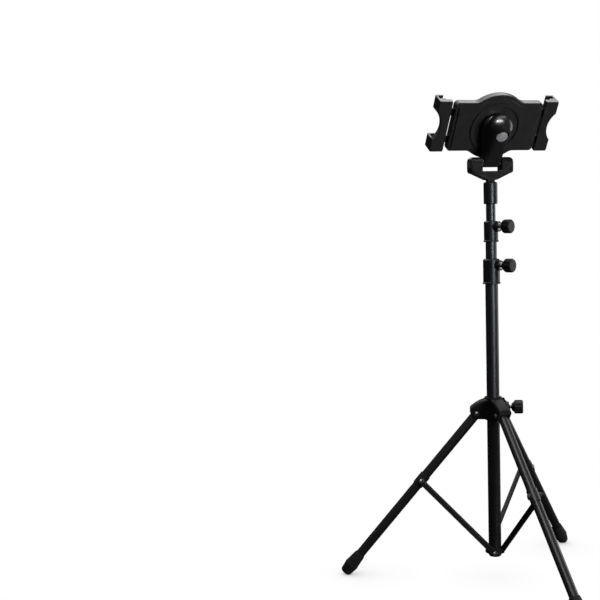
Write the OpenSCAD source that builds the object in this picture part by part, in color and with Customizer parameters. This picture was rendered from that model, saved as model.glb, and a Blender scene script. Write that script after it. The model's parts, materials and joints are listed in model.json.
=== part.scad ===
// Adjustable floor stand for a tablet. A folding tripod base carries a mast of three clamped tubes.
// On top, a yoke and a knuckle tilt and turn a holder with two geared, sliding arms.
// The mast runs along Z and the holder's front faces -Y. The middle of the footprint is the origin.

/* [Mast tubes] */
// Outside diameter of the lowest, widest mast tube
main_od = 19.6; // [18:0.1:24]
// Wall of the lowest mast tube
main_wall = 1; // [0.8:0.1:1.2]
// Wall of the middle mast tube
mid_wall = 1; // [0.8:0.1:1.2]
// Wall of the top mast tube
upper_wall = 1; // [0.8:0.1:1.2]
// Radial gap between one mast tube and the next
tube_gap = 0.3; // [0.25:0.05:0.5]
// Length of the lowest mast tube
main_len = 432.6; // [400:0.2:500]
// Length of the middle mast tube
mid_len = 420; // [380:1:430]
// Length of the top mast tube
upper_len = 400; // [360:1:410]
// Length of middle tube that shows between the two clamp collars
mid_show = 26; // [20:1:200]
// Length of top tube that shows between the upper collar and the head socket
upper_show = 26; // [20:1:200]
// Thickness of the guide flange on a tube's end plug
plug_flange = 3; // [2:0.5:6]
// Length of the end plug inside its tube
plug_len = 12; // [8:1:20]

/* [Clamp collars] */
// Height of the main collar
main_collar_h = 38.4; // [34:0.2:46]
// Outside radius of the main collar
main_collar_r = 12.8; // [12.4:0.1:16]
// Depth of main tube inside the main collar
main_grip = 18; // [14:0.5:20]
// Height of the clamp screw above the main collar's foot
main_boss_z = 28.4; // [28:0.2:30]
// Height of the middle collar
mid_collar_h = 32.2; // [31:0.2:40]
// Outside radius of the middle collar
mid_collar_r = 10.8; // [10.6:0.1:14]
// Depth of middle tube inside the middle collar
mid_grip = 14; // [10:0.5:15]
// Height of the clamp screw above the middle collar's foot
mid_boss_z = 23.6; // [23.2:0.2:24]
// Radius of a clamp boss
boss_r = 8; // [7.4:0.1:8.2]
// How far a clamp boss stands out from its collar's wall
boss_out = 4.6; // [3.6:0.1:7]
// Height of the lip round a collar's foot
lip_h = 3; // [2:0.2:5]
// How far the lip stands out
lip_out = 0.8; // [0.4:0.1:1.5]
// Chamfer on a collar's top edge
collar_chamfer = 1.6; // [0.6:0.1:2]
// Bearing of the two mast clamp screws
clamp_turn = 121; // [100:1:140]

/* [Clamp knobs] */
// Outside radius of a knob across its lobes
knob_r = 10.6; // [9:0.1:12]
// Length of a knob's lobed barrel
knob_len = 13.6; // [10:0.2:18]
// Number of lobes round a knob
knob_lobes = 8; // [6:1:10]
// Radius of the hollow between two lobes
knob_hollow_r = 3; // [2.4:0.1:3.2]
// Distance of a hollow's middle outside the knob's edge
knob_hollow_out = 1.9; // [1.6:0.1:2.2]
// Length of the tapered neck under the barrel
knob_neck = 4; // [2:0.5:6]
// Radius of the neck's small end
knob_neck_r = 5; // [4.4:0.1:7]
// Rounding at both ends of the barrel
knob_round = 2.4; // [1.4:0.1:3]
// Radius of the clamp screw
stud_r = 3; // [2.5:0.1:3.4]
// Bare length of clamp screw between boss and knob
stud_show = 4; // [2:0.5:8]
// Width of a clamp nut across its flats
nut_af = 10; // [9:0.1:11]
// Thickness of a clamp nut
nut_h = 3.4; // [2.5:0.1:3.5]

/* [Tripod legs] */
// Outside diameter of a leg tube
leg_od = 14.4; // [12:0.1:15]
// Wall of a leg tube
leg_wall = 1; // [0.8:0.1:1.6]
// Leg length from the hub pivot to the middle of the foot's end
leg_len = 334; // [310:1:360]
// Angle of an open leg from upright
leg_angle = 39.5; // [36:0.5:41]
// How far a leg turns in to fold
fold_turn = 32; // [26:0.5:33]
// Bearing of the first leg
leg_turn = -25.2; // [-40:0.1:-10]
// Distance of the leg pivots from the mast's axis
pivot_r = 25; // [24:0.1:28]
// Distance along a leg from its hub pivot to its brace's rivet
leg_link = 138; // [130:1:142]
// Radius of the pivot rivets
rivet_r = 2.4; // [2:0.1:2.6]
// Radius of a rivet's head
rivet_head_r = 4; // [3.2:0.1:4.4]
// Height of a rivet's domed head
rivet_head_h = 1.6; // [1:0.1:2]
// Rounding of a leg's top end about its pivot
leg_top_r = 8; // [7.6:0.1:8.4]

/* [Braces and clips] */
// Length of a brace between its two rivets
brace_len = 160; // [154:0.5:168]
// Depth of a brace, seen from its leg's side
brace_depth = 9; // [8.6:0.1:9.6]
// Thickness of a brace across its rivets
brace_t = 4.2; // [3.4:0.1:5]
// Sheet thickness of a brace
brace_wall = 1.2; // [1:0.1:1.4]
// Bevel along a brace's outer edges
brace_bevel = 1.6; // [0.8:0.1:1.8]
// Radius of the round pads that a brace turns against
pad_r = 5.2; // [5:0.1:6]
// Height of the lower crown's pads above the tube's side
side_pad = 0.3; // [0.2:0.05:0.8]
// Wall of a leg clip
clip_wall = 1.2; // [1:0.1:1.8]
// Length of a leg clip along its leg
clip_len = 20; // [14:0.5:26]

/* [Leg hub] */
// Height of a lobe's roof above the pivots, at the sleeve
hub_top = 23; // [21:0.5:28]
// Depth of the lobes under the pivots
hub_drop = 8; // [8:0.5:10]
// Height of the sleeve above the lobes' roofs
sleeve_rise = 2.6; // [2:0.1:5]
// Depth of the sleeve under the lobes
sleeve_drop = 1.6; // [0.8:0.1:4]
// Outside radius of the hub's sleeve
hub_r = 13.4; // [13:0.1:14]
// Reach of a hub lobe's tip from the mast's axis
lobe_reach = 36; // [35:0.5:38]
// Height of a lobe's tip above the pivots
lobe_tip = 9.4; // [9:0.1:11]
// Height of a lobe's end face
lobe_end = 6; // [4:0.5:7]
// Radius of a lobe roof's curve, seen from the side
roof_r = 61; // [45:1:90]
// Rounding along a lobe roof's edges
lobe_round = 4; // [2:0.1:5]
// Thickness of a lobe's side walls
lobe_wall = 2.8; // [2.4:0.1:4]
// Height of the hub's clamp screw above the pivots
hub_boss_z = 10; // [9.5:0.5:12]
// Reach of the hub's clamp boss from the mast's axis
hub_boss_reach = 24; // [22:0.5:27]
// Reach of the lug over the clamp boss from the mast's axis
lug_reach = 17; // [15:0.5:20]
// Width of the lug over the clamp boss
lug_w = 7; // [5:0.5:9]

/* [Lower crown] */
// Height of the mast tube's lower end above the brace rivets
crown_rise = 7; // [6:0.5:10]
// Depth of the crown under the brace rivets
crown_drop = 6.4; // [6:0.2:9]
// Rounding of the crown's lower edge
crown_round = 3; // [1:0.1:4]
// Length of the crown's spigot inside the mast tube
spigot_len = 16; // [10:1:24]
// Distance of a crown rivet's inner end from the mast's axis
pin_in = 4.6; // [4.2:0.1:6]

/* [Feet] */
// Length of a rubber foot
foot_len = 39; // [34:0.5:46]
// Radius of a foot at its bulge
foot_bulge_r = 11; // [10.6:0.1:12]
// Radius of a foot's end
foot_end_r = 8.6; // [8:0.1:9.5]
// Depth of the flat worn on each foot where it meets the floor
foot_flat = 2.4; // [1.5:0.1:3]
// Thickness of rubber over the end of the leg tube
foot_floor = 9; // [8:0.5:12]
// Wall of rubber at the foot's open end
foot_lip = 1.4; // [1:0.1:2]
// Height of the bulge's middle above the foot's end
foot_bulge_z = 16.4; // [13:0.2:20]
// Half the height over which the bulge stays full
foot_bulge_run = 4; // [2:0.2:6]

/* [Head] */
// Height of the head socket
socket_h = 33.6; // [32:0.2:42]
// Outside radius of the head socket
socket_r = 10.6; // [10.2:0.1:13]
// Depth of top tube inside the head socket
socket_grip = 17; // [14:0.5:17]
// Thickness of the head socket's floor under the stem
socket_floor = 4; // [3:0.2:4.4]
// Radius of the yoke's stem
stem_r = 6; // [5:0.1:7]
// Length of stem inside the socket
stem_len = 12; // [8:0.5:12]
// Height of the tilt pin above the head socket
yoke_rise = 29; // [28:0.5:36]
// Width of the yoke over both prongs
yoke_w = 69; // [66:0.5:80]
// Front to back depth of the yoke
yoke_depth = 18; // [16:0.2:18.4]
// Clear width between the yoke's prongs
yoke_gap = 33; // [30:0.5:36]
// Depth of the yoke's slot under the tilt pin
yoke_slot = 12.5; // [10:0.5:13]
// Depth of the yoke's straight sides under the tilt pin
prong_drop = 16; // [14:0.5:19]
// Height of the yoke's lowest edge above the head socket
yoke_neck = 3; // [2:0.2:4]
// Rounding of the prongs' outer corners
yoke_corner = 5; // [3:0.2:6]
// Radius of the tilt bolt
tilt_bolt_r = 3; // [2.5:0.1:3.4]
// Radius of the tilt bolt's head
bolt_head_r = 5.4; // [4.6:0.1:6]
// Depth of the pockets for the tilt bolt's head and nut
bolt_sink = 4; // [3:0.2:5]
// Tilt of the holder from upright
tilt = 32; // [10:1:60]
// Distance of the turning axis above the tilt pin
disc_up = 54.5; // [54:0.5:70]
// Distance of the holder's back in front of the tilt pin
plate_back = 9.8; // [9.8:0.1:14]
// Radius of the knuckle's round top
dome_r = 19; // [17:0.5:20]
// Distance of the round top's middle behind the holder
dome_wall = 12.5; // [11:0.5:14]
// Height of the round top above the turning axis
dome_up = 28.5; // [24:0.5:30]
// Radius of the knuckle's broad base
knuckle_base_r = 25; // [24.5:0.5:27]
// Height of the knuckle's broad base
knuckle_base_h = 7; // [5:0.5:9]
// Radius of the knuckle's hinge barrel
barrel_r = 6.6; // [5.6:0.1:8]
// How much narrower than the yoke's gap the knuckle's neck is, on each side
neck_inset = 4; // [2.6:0.2:6]
// Radius of the cap over the turning nut
cap_r = 9.8; // [8:0.1:10.4]
// Thickness of that cap
cap_t = 3.2; // [1.6:0.2:4]

/* [Holder] */
// Width of the holder's body
holder_w = 143; // [139:0.5:148]
// Height of the holder's body at its wings
holder_h = 80; // [78:0.5:90]
// Thickness of the holder's back shell
shell_t = 12; // [11.6:0.1:14]
// Thickness of the holder's front cover
cover_t = 2; // [1.6:0.1:3]
// Corner radius of the holder's body
holder_corner = 6; // [5.5:0.5:10]
// Radius of the round bulges above and below the turning axis
bulge_r = 53; // [51:0.5:56]
// Blend radius between a bulge and the wings
blend_r = 16; // [10:0.5:20]
// Chamfer round the shell's outer edge
shell_chamfer = 1.2; // [0.6:0.1:2]
// Height of the raised panel on the shell's back
panel_h = 2; // [1.4:0.1:2.4]
// Distance of the panel's edge inside the shell's edge
panel_in = 4.6; // [4:0.1:6]
// Chamfer round the panel
panel_chamfer = 1.2; // [0.6:0.1:1.4]
// Corner radius of the panel
panel_corner = 3; // [2:0.1:5]
// Outside radius of the raised ring round the knuckle
ring_r = 41; // [38:0.5:43]
// Width of the raised ring
ring_w = 5; // [3:0.5:7]
// Height of the raised ring
ring_h = 1.6; // [0.8:0.1:1.8]
// Radius of the turning bolt
swivel_r = 2.5; // [2:0.1:3]
// Depth of the pocket for the turning bolt's head
bolt_pocket = 3.6; // [3:0.1:4.4]
// Width of the turning nut across its flats
swivel_nut_af = 8; // [7:0.1:9]
// Thickness of the turning nut
swivel_nut_h = 4; // [3:0.1:6]
// Thickness of the washer between knuckle and holder
washer_t = 1; // [0.8:0.1:1.4]
// Thickness of the front cushion strips
pad_t = 1.4; // [1:0.1:2]
// Length of a front cushion strip
pad_len = 100; // [60:1:120]
// Width of a front cushion strip
pad_w = 14; // [8:0.5:18]
// Radius of the cover screws
cover_screw_r = 1.5; // [1.2:0.1:2]
// Distance of a cover screw from the holder's side
screw_inset = 12; // [8:0.5:16]
// Distance of a cover screw from the wings' upper and lower edge
screw_drop = 8; // [6:0.5:9]

/* [Arms] */
// Clear opening between the two arms' cushions
opening = 186; // [182:0.5:210]
// Gap at rest between the holder's body and each arm
arm_gap = 5.2; // [5.2:0.1:9]
// Height of an arm
arm_h = 83; // [80:0.5:95]
// Rounding of an arm's outline
arm_corner = 3; // [1:0.5:5]
// Distance of an arm's back in front of the holder's back
arm_back = 4; // [2:0.1:5]
// Height of a hook
hook_h = 19.5; // [18:0.5:26]
// Clear depth of a hook in front of the holder's cushions
hook_depth = 9; // [9:0.5:14]
// Wall of a hook
hook_wall = 3; // [2.6:0.1:4.4]
// Reach of a hook's front lip over the tablet
lip_reach = 9; // [5:0.5:12]
// Narrowest width of an arm's spine
spine_w = 11.4; // [9:0.2:13]
// Thickness of the cushion in a hook
hook_pad = 1.2; // [0.8:0.1:1.6]
// Width of a rail
rail_w = 11; // [9:0.2:12]
// Thickness of a rail
rail_t = 4; // [3:0.1:4.4]
// Length of rack rail past the middle
rack_past = 30; // [26:0.5:34]
// Length of rack teeth on the arm's own side of the middle
rack_out = 12; // [10:0.5:14]
// Distance of the plain rail's end from the middle
plain_rail_end = 45; // [40:1:50]
// Tooth size of the rack and pinion
tooth = 1.5; // [1.2:0.05:1.6]
// Number of teeth on the pinion
pinion_teeth = 20; // [18:2:20]
// Play between the teeth
backlash = 0.3; // [0.2:0.05:0.4]
// Radius of the post that the pinion turns on
post_r = 4; // [3:0.1:5]

/* [Fits] */
// Radial play of a pin or bolt that turns in its hole
run_fit = 0.06; // [0.04:0.01:0.1]
// Gap between pieces that slide past each other
slide_gap = 0.4; // [0.3:0.05:0.6]
// Radial gap between the leg hub and the mast
hub_gap = 0.6; // [0.5:0.05:0.8]
// Gap between a leg and the hub's walls on each side of it
lobe_gap = 0.7; // [0.5:0.05:0.9]
// Room round the top of a leg as it swings in the hub
swing_gap = 1; // [0.8:0.1:1.2]
// Radial play of the second and third leg on their hub pins
pin_play = 0.8; // [0.7:0.05:0.9]

/* [Hidden] */
$fn = 72;
over = 1;

black = [0.06, 0.06, 0.07];
satin = [0.1, 0.1, 0.11];
rubber = [0.14, 0.14, 0.14];
steel = [0.72, 0.73, 0.75];
grey = [0.5, 0.51, 0.53];
nylon = [0.8, 0.79, 0.75];

// Each mast tube slides in the one below.
mid_od = main_od - 2 * main_wall - 2 * tube_gap;
upper_od = mid_od - 2 * mid_wall - 2 * tube_gap;
main_bore_r = main_od / 2 - main_wall;
mid_bore_r = mid_od / 2 - mid_wall;
upper_bore_r = upper_od / 2 - upper_wall;

// Leg, brace and mast make a triangle: both rivets of a leg lie on its axis.
rivet_out = pivot_r + leg_link * sin(leg_angle);
brace_angle = asin(rivet_out / brace_len);
hub_z = leg_len * cos(leg_angle) + foot_end_r * sin(leg_angle) - foot_flat;
crown_z = hub_z - leg_link * cos(leg_angle) - brace_len * cos(brace_angle);

// Each brace lies beside its leg and passes the mast. Its faces' distances from the leg's plane.
brace_in = main_od / 2 + side_pad + slide_gap;
brace_out = brace_in + brace_t;
head_gap = slide_gap / 2;

// The footprint's middle, from the feet's furthest places.
foot_reach = pivot_r + leg_len * sin(leg_angle);
foot_x = [for (i = [0:2]) foot_reach * cos(leg_turn + 120 * i)];
foot_y = [for (i = [0:2]) foot_reach * sin(leg_turn + 120 * i)];
stance_x = (max(foot_x) + min(foot_x)) / 2;
stance_y = (max(foot_y) + min(foot_y)) / 2;

// Heights up the mast.
main_bottom = crown_z + crown_rise;
main_top = main_bottom + main_len;
main_collar_z = main_top - main_grip;
mid_collar_z = main_collar_z + main_collar_h + mid_show;
mid_top = mid_collar_z + mid_grip;
socket_z = mid_collar_z + mid_collar_h + upper_show;
upper_top = socket_z + socket_grip;
socket_top = socket_z + socket_h;
tilt_z = socket_top + yoke_rise;

// The holder's depths, from its back towards the front.
rail_back = shell_t - slide_gap - rail_t;
holder_front = shell_t + cover_t;
hook_front = holder_front + pad_t + hook_depth;

// The arms' places across the holder.
arm_in = holder_w / 2 + arm_gap;
hook_in = opening / 2 + hook_pad;
arm_out = hook_in + hook_wall;
pitch_r = tooth * pinion_teeth / 2;
tooth_root = 1.25 * tooth;
tooth_tip = 0.9 * tooth;
pressure_angle = 20;
rail_in = pitch_r + tooth_root;
rail_mid = rail_in + rail_w / 2;
rack_step = PI * tooth;

// Stands the piece on the mast's axis.
module at_mast() {
    translate([-stance_x, -stance_y, 0]) children();
}

// Leg i's upright plane: X runs outwards from the mast.
module at_leg(i) {
    at_mast() rotate(leg_turn + 120 * i) children();
}

// Along leg i: the origin is its hub pivot and -Z runs down the leg.
module on_leg(i) {
    at_leg(i) translate([pivot_r, 0, hub_z]) rotate([0, -leg_angle, 0]) children();
}

// Along brace i: the origin is its crown rivet and +Z runs up the brace.
module on_brace(i) {
    at_leg(i) translate([0, 0, crown_z]) rotate([0, brace_angle, 0]) children();
}

// The tilting head: the origin is the tilt pin, Y points out of the back and Z up the holder.
module on_head() {
    at_mast() translate([0, 0, tilt_z]) rotate([-tilt, 0, 0]) children();
}

// The holder's plane: the origin is the turning axis at the shell's back, Y is up, Z to the front.
module on_disc() {
    on_head() translate([0, -plate_back, disc_up]) rotate([90, 0, 0]) children();
}

// A clamp screw's axis, from the mast outwards along +Z.
module along_clamp(z, turn) {
    at_mast() translate([0, 0, z]) rotate([0, 90, turn]) children();
}

// Turns a side view, with X out and Y up, upright and centres its thickness.
module side_plate(t) {
    rotate([90, 0, 0]) linear_extrude(t, center = true) children();
}

// Turns a back-and-up outline into a slab across X.
module cross_plate(t) {
    rotate([90, 0, 90]) linear_extrude(t, center = true) children();
}

module tube(h, r_out, r_in) {
    difference() {
        cylinder(h = h, r = r_out);
        translate([0, 0, -over]) cylinder(h = h + 2 * over, r = r_in);
    }
}

module rounded_box_2d(w, h, r) {
    square([w - 2 * r, h], center = true);
    square([w, h - 2 * r], center = true);
    for (x = [-1, 1], y = [-1, 1]) translate([x * (w / 2 - r), y * (h / 2 - r)]) circle(r = r);
}

// A low dome that stands on Z = 0.
module dome(r, h) {
    big = (r * r + h * h) / (2 * h);
    rotate_extrude() intersection() {
        translate([0, h - big]) circle(r = big, $fn = 360);
        square([r, h]);
    }
}

// A round bar along Y from y0 to y1.
module across(y0, y1, r) {
    rotate([-90, 0, 0]) translate([0, 0, y0]) cylinder(h = y1 - y0, r = r);
}

// A rivet along Y from y0 to y1, with a domed head outside both ends.
module rivet(y0, y1) {
    across(y0, y1, rivet_r);
    translate([0, y1, 0]) rotate([-90, 0, 0]) dome(rivet_head_r, rivet_head_h);
    translate([0, y0, 0]) rotate([90, 0, 0]) dome(rivet_head_r, rivet_head_h);
}

// A round bar of length w along X, centred.
module across_x(w, r) {
    rotate([0, 90, 0]) cylinder(h = w, r = r, center = true);
}

module hex_nut(af, h, hole_r) {
    difference() {
        cylinder(h = h, r = af / 2 / cos(30), $fn = 6);
        translate([0, 0, -over]) cylinder(h = h + 2 * over, r = hole_r);
    }
}

// Mast tubes and their plugs

module main_tube() {
    color(satin) at_mast() translate([0, 0, main_bottom]) tube(main_len, main_od / 2, main_bore_r);
}

module mid_tube() {
    color(satin) at_mast() translate([0, 0, mid_top - mid_len]) tube(mid_len, mid_od / 2, mid_bore_r);
}

module upper_tube() {
    color(satin) at_mast() translate([0, 0, upper_top - upper_len])
        tube(upper_len, upper_od / 2, upper_bore_r);
}

// A hollow end plug: its flange guides the tube in the wider one, under the tube's lower end.
module tube_plug(z, flange_r, spigot_r) {
    at_mast() translate([0, 0, z - plug_flange]) difference() {
        union() {
            cylinder(h = plug_flange, r = flange_r);
            cylinder(h = plug_flange + plug_len, r = spigot_r);
        }
        translate([0, 0, -over]) cylinder(h = plug_flange + plug_len + 2 * over, r = spigot_r / 2);
    }
}

module mid_tube_plug() {
    color(nylon) tube_plug(mid_top - mid_len, main_bore_r - run_fit, mid_bore_r);
}

module upper_tube_plug() {
    color(nylon) tube_plug(upper_top - upper_len, mid_bore_r - run_fit, upper_bore_r);
}

// Clamp collars, nuts, screws and knobs

// A turned collar with a side boss: it seats the tube below and lets the next one slide.
module collar(z, h, r, seat_r, grip, throat_r, boss_z) {
    boss_reach = r + boss_out;
    difference() {
        union() {
            at_mast() translate([0, 0, z]) rotate_extrude() polygon([[0, 0], [r + lip_out, 0],
                [r + lip_out, lip_h - lip_out], [r, lip_h], [r, h - collar_chamfer],
                [r - collar_chamfer, h], [0, h]]);
            along_clamp(z + boss_z, clamp_turn) cylinder(h = boss_reach, r = boss_r);
        }
        at_mast() translate([0, 0, z - over]) cylinder(h = grip + over, r = seat_r);
        at_mast() translate([0, 0, z]) cylinder(h = h + over, r = throat_r);
        along_clamp(z + boss_z, clamp_turn) cylinder(h = boss_reach + over, r = stud_r + run_fit);
        along_clamp(z + boss_z, clamp_turn) translate([0, 0, boss_reach - nut_h])
            cylinder(h = nut_h + over, r = nut_af / 2 / cos(30), $fn = 6);
    }
}

module main_collar() {
    color(black) collar(main_collar_z, main_collar_h, main_collar_r, main_od / 2, main_grip,
        mid_od / 2 + tube_gap, main_boss_z);
}

module mid_collar() {
    color(black) collar(mid_collar_z, mid_collar_h, mid_collar_r, mid_od / 2, mid_grip,
        upper_od / 2 + tube_gap, mid_boss_z);
}

module clamp_nut(z, turn, reach) {
    along_clamp(z, turn) translate([0, 0, reach - nut_h]) hex_nut(nut_af, nut_h, stud_r + run_fit);
}

module main_clamp_nut() {
    color(steel) clamp_nut(main_collar_z + main_boss_z, clamp_turn, main_collar_r + boss_out);
}

module mid_clamp_nut() {
    color(steel) clamp_nut(mid_collar_z + mid_boss_z, clamp_turn, mid_collar_r + boss_out);
}

module hub_clamp_nut() {
    color(steel) clamp_nut(hub_z + hub_boss_z, leg_turn + 180, hub_boss_reach);
}

// The screw runs from just off the tube into the knob.
module stud(z, turn, tip, reach) {
    knob_bite = knob_len / 2 + knob_neck;
    along_clamp(z, turn) translate([0, 0, tip]) cylinder(h = reach + stud_show + knob_bite - tip, r = stud_r);
}

module main_stud() {
    color(steel) stud(main_collar_z + main_boss_z, clamp_turn, mid_od / 2 + slide_gap,
        main_collar_r + boss_out);
}

module mid_stud() {
    color(steel) stud(mid_collar_z + mid_boss_z, clamp_turn, upper_od / 2 + slide_gap,
        mid_collar_r + boss_out);
}

module hub_stud() {
    color(steel) stud(hub_z + hub_boss_z, leg_turn + 180, main_od / 2 + hub_gap, hub_boss_reach);
}

// A lobed grip with round ends on a tapered neck.
module knob(z, turn, reach) {
    top = knob_neck + knob_len;
    face_r = knob_r - knob_round;
    along_clamp(z, turn) translate([0, 0, reach + stud_show]) difference() {
        rotate_extrude() {
            polygon([[0, 0], [knob_neck_r, 0], [face_r, knob_neck], [face_r, top], [0, top]]);
            translate([0, knob_neck + knob_round]) square([knob_r, knob_len - 2 * knob_round]);
            for (y = [knob_neck + knob_round, top - knob_round])
                translate([face_r, y]) circle(r = knob_round);
        }
        for (k = [0:knob_lobes - 1]) rotate(360 / knob_lobes * (k + 0.5))
            translate([knob_r + knob_hollow_out, 0, -over]) cylinder(h = top + 2 * over, r = knob_hollow_r);
        translate([0, 0, -over]) cylinder(h = knob_len / 2 + knob_neck + over, r = stud_r);
    }
}

module main_knob() {
    color(satin) knob(main_collar_z + main_boss_z, clamp_turn, main_collar_r + boss_out);
}

module mid_knob() {
    color(satin) knob(mid_collar_z + mid_boss_z, clamp_turn, mid_collar_r + boss_out);
}

module hub_knob() {
    color(satin) knob(hub_z + hub_boss_z, leg_turn + 180, hub_boss_reach);
}

// Leg hub

lobe_w = leg_od + 2 * lobe_gap + 2 * lobe_wall;

// The roof's curve runs from the sleeve's wall to the lobe's tip.
roof_run = lobe_reach - hub_r;
roof_fall = hub_top - lobe_tip;
roof_slope = atan2(roof_fall, roof_run);
roof_sink = sqrt(roof_r * roof_r - (roof_run * roof_run + roof_fall * roof_fall) / 4);
roof_x = hub_r + roof_run / 2 - roof_sink * sin(roof_slope);
roof_z = hub_top - roof_fall / 2 - roof_sink * cos(roof_slope);

// Half section of a thick disc with a rounded rim. A piece of that rim is a lobe's roof.
module roof_rim() {
    translate([0, lobe_round - lobe_w / 2]) square([roof_r, lobe_w - 2 * lobe_round]);
    translate([0, -lobe_w / 2]) square([roof_r - lobe_round, lobe_w]);
    for (s = [-1, 1]) translate([roof_r - lobe_round, s * (lobe_w / 2 - lobe_round)])
        circle(r = lobe_round);
}

// Side view of a lobe under its roof.
module lobe_side() {
    polygon([[hub_r / 2, -hub_drop], [hub_r / 2, hub_top + lobe_round], [lobe_reach, hub_top + lobe_round],
        [lobe_reach, lobe_tip - lobe_end], [pivot_r + 1.5 * rivet_head_r, -hub_drop / 2],
        [pivot_r, -hub_drop]]);
}

// A hooded lobe: the roof curves down to the tip and is rounded along both edges.
module lobe() {
    intersection() {
        translate([roof_x, 0, roof_z]) rotate([90, 0, 0]) rotate_extrude() roof_rim();
        side_plate(lobe_w + over) lobe_side();
    }
}

// Side view of the room that a leg sweeps as it folds.
module leg_sweep() {
    half = leg_od / 2 + swing_gap;
    translate([pivot_r, 0]) {
        circle(r = leg_top_r + swing_gap);
        for (a = [leg_angle - fold_turn, leg_angle - fold_turn / 2, leg_angle])
            rotate(a - 90) translate([0, -half]) square([lobe_reach + hub_top, 2 * half]);
    }
}

// Side view of the lug that stiffens the clamp boss.
module hub_lug() {
    polygon([[hub_r - over, hub_boss_z], [hub_r - over, hub_top + over], [lug_reach, hub_top + over],
        [hub_boss_reach - over, hub_boss_z]]);
}

module leg_hub() {
    color(black) difference() {
        union() {
            at_mast() translate([0, 0, hub_z - hub_drop - sleeve_drop])
                cylinder(h = hub_drop + sleeve_drop + hub_top + sleeve_rise, r = hub_r);
            for (i = [0:2]) at_leg(i) translate([0, 0, hub_z]) lobe();
            along_clamp(hub_z + hub_boss_z, leg_turn + 180) cylinder(h = hub_boss_reach, r = boss_r);
            at_leg(0) translate([0, 0, hub_z]) rotate(180) side_plate(lug_w) hub_lug();
        }
        for (i = [0:2]) at_leg(i) translate([0, 0, hub_z]) {
            side_plate(leg_od + 2 * lobe_gap) leg_sweep();
            translate([pivot_r, 0, 0]) across(-lobe_w, lobe_w, rivet_r);
        }
        at_mast() translate([0, 0, hub_z - hub_z / 2]) cylinder(h = hub_z, r = main_od / 2 + hub_gap);
        along_clamp(hub_z + hub_boss_z, leg_turn + 180) {
            cylinder(h = hub_boss_reach + over, r = stud_r + run_fit);
            translate([0, 0, hub_boss_reach - nut_h])
                cylinder(h = nut_h + over, r = nut_af / 2 / cos(30), $fn = 6);
        }
    }
}

module hub_pins() {
    color(steel) for (i = [0:2]) at_leg(i) translate([pivot_r, 0, hub_z]) rivet(-lobe_w / 2, lobe_w / 2);
}

// Legs, feet, clips and braces

module leg(i) {
    run = leg_len - foot_floor;
    color(satin) on_leg(i) difference() {
        intersection() {
            translate([0, 0, -run]) tube(run + leg_top_r, leg_od / 2, leg_od / 2 - leg_wall);
            union() {
                across(-leg_od, leg_od, leg_top_r);
                translate([-leg_od, -leg_od, -run - over]) cube([2 * leg_od, 2 * leg_od, run + over]);
            }
        }
        across(-leg_od, leg_od, rivet_r + (i == 0 ? run_fit : pin_play));
        translate([0, 0, -leg_link]) across(-leg_od, leg_od, rivet_r);
    }
}

// A rubber tip: a cone out from the tube, a bulge and a blunt end, cut flat on the floor.
module foot(i) {
    top_r = leg_od / 2 + foot_lip;
    shoulder_r = foot_bulge_r - foot_lip / 2;
    color(rubber) difference() {
        on_leg(i) translate([0, 0, -leg_len]) difference() {
            rotate_extrude() polygon([[0, 0], [foot_end_r - foot_lip, 0], [foot_end_r, foot_lip],
                [shoulder_r, foot_bulge_z - foot_bulge_run], [foot_bulge_r, foot_bulge_z],
                [shoulder_r, foot_bulge_z + foot_bulge_run], [top_r, foot_len - foot_lip],
                [top_r - foot_lip / 2, foot_len], [0, foot_len]]);
            translate([0, 0, foot_floor]) cylinder(h = foot_len, r = leg_od / 2);
        }
        at_leg(i) translate([foot_reach, 0, -foot_len / 2]) cube([foot_len * 2, foot_len * 2, foot_len],
            center = true);
    }
}

clip_r = leg_od / 2 + clip_wall;

// A sleeve round the leg with a round pad on each side: the brace turns against the outer one.
module leg_clip(i) {
    color(satin) on_leg(i) translate([0, 0, -leg_link]) difference() {
        union() {
            translate([0, 0, -clip_len / 2]) cylinder(h = clip_len, r = clip_r);
            across(-clip_r - side_pad, brace_in - slide_gap, pad_r);
        }
        translate([0, 0, -clip_len]) cylinder(h = 2 * clip_len, r = leg_od / 2);
        across(-leg_od, 2 * leg_od, rivet_r);
    }
}

module clip_rivet(i) {
    color(steel) on_leg(i) translate([0, 0, -leg_link]) rivet(-clip_r - side_pad, brace_out + head_gap);
}

// A bar from y0 to y1 with round ends about both rivets, bevelled along its outer face.
module brace_bar(r, y0, y1) {
    c = brace_bevel;
    for (z = [0, brace_len]) translate([0, 0, z]) rotate([-90, 0, 0])
        rotate_extrude() polygon([[0, y0], [r, y0], [r, y1 - c], [r - c, y1], [0, y1]]);
    linear_extrude(brace_len)
        polygon([[-r, y0], [r, y0], [r, y1 - c], [r - c, y1], [c - r, y1], [-r, y1 - c]]);
}

// A pressed brace, hollow on the side that faces the mast.
module brace(i) {
    r = brace_depth / 2;
    color(satin) on_brace(i) difference() {
        brace_bar(r, brace_in, brace_out);
        brace_bar(r - brace_wall, brace_in - over, brace_out - brace_wall);
        for (z = [0, brace_len]) translate([0, 0, z])
            across(brace_in - over, brace_out + over, rivet_r + run_fit);
    }
}

// Lower crown

// An end piece under the mast tube, with a spigot inside it and a flat pad beside each brace.
module lower_crown() {
    r = main_od / 2;
    color(black) difference() {
        union() {
            at_mast() translate([0, 0, crown_z]) rotate_extrude() {
                translate([0, crown_round - crown_drop]) square([r, crown_rise + crown_drop - crown_round]);
                translate([0, -crown_drop]) square([r - crown_round, crown_drop]);
                translate([r - crown_round, crown_round - crown_drop]) circle(r = crown_round);
                square([main_bore_r, crown_rise + spigot_len]);
            }
            for (i = [0:2]) at_leg(i) translate([0, 0, crown_z]) across(r / 2, r + side_pad, pad_r);
        }
        for (i = [0:2]) at_leg(i) translate([0, 0, crown_z]) across(pin_in, main_od, rivet_r);
    }
}

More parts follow.
